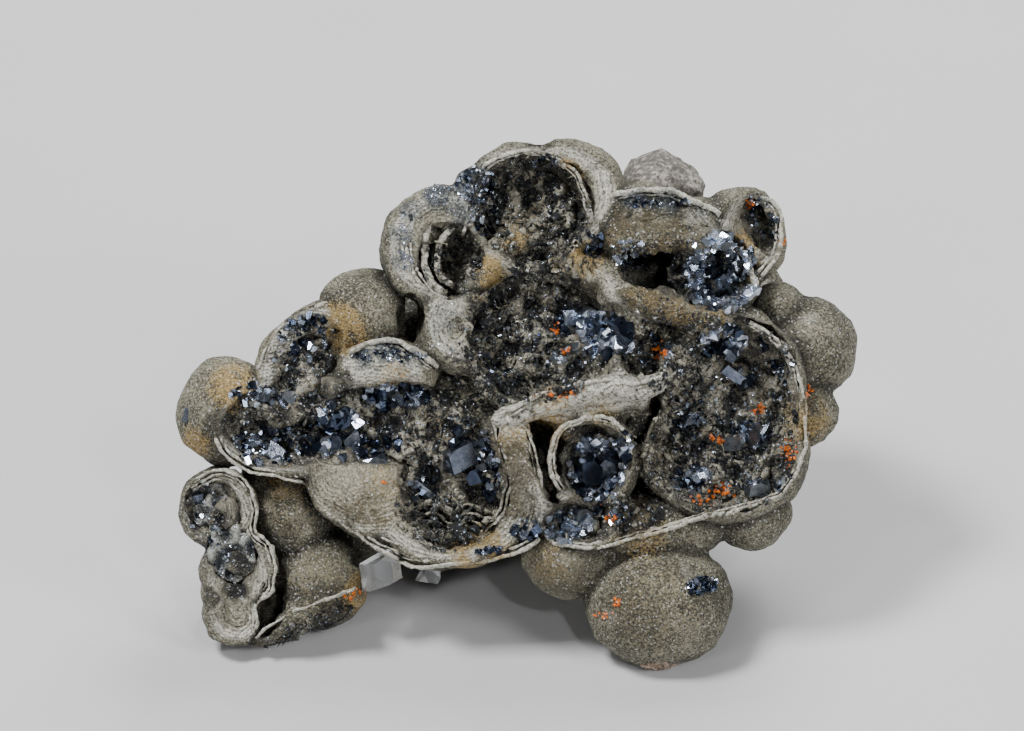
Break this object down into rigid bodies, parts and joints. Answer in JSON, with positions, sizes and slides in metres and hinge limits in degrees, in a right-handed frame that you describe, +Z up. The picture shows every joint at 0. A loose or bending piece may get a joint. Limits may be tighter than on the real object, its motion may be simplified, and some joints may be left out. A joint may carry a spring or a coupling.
{
  "type": "native arsenic specimen",
  "caption": "Native arsenic: a cluster of thin-shelled grape-like lobes broken open, its hollows lined with dark metallic crystals.",
  "frame": {"origin": "middle of the bounding box at the level of the feet the piece rests on", "axes": "+Z up as it rests, +X to the right across the broken face, -Y the side that the broken face looks to, leaning back"},
  "size_m": [0.0862, 0.053, 0.0568],
  "materials": {
    "arsenic": "matt olive-grey sugary skin, paler on the broken shells",
    "dark_crystal": "blue-black metallic crystal faces",
    "matrix_rock": "pale matt rock",
    "tip_rock": "pale pinkish matt rock",
    "calcite": "clear to milky glassy crystal",
    "steel_crystal": "steel-blue metallic crystal"
  },
  "bodies": {
    "root": {"arsenic_mass": "arsenic", "left_crust": "dark_crystal", "middle_crust": "dark_crystal", "bridge_crust": "dark_crystal", "top_crust": "dark_crystal", "vug_crust": "dark_crystal", "right_crust": "dark_crystal", "pod_crust": "dark_crystal", "pod_foot_crust": "dark_crystal", "low_left_crust": "dark_crystal", "matrix_rock": "matrix_rock", "tip_rock": "tip_rock", "calcite_large": "calcite", "calcite_small": "calcite", "steel_crystal": "steel_crystal"}
  },
  "joints": []
}
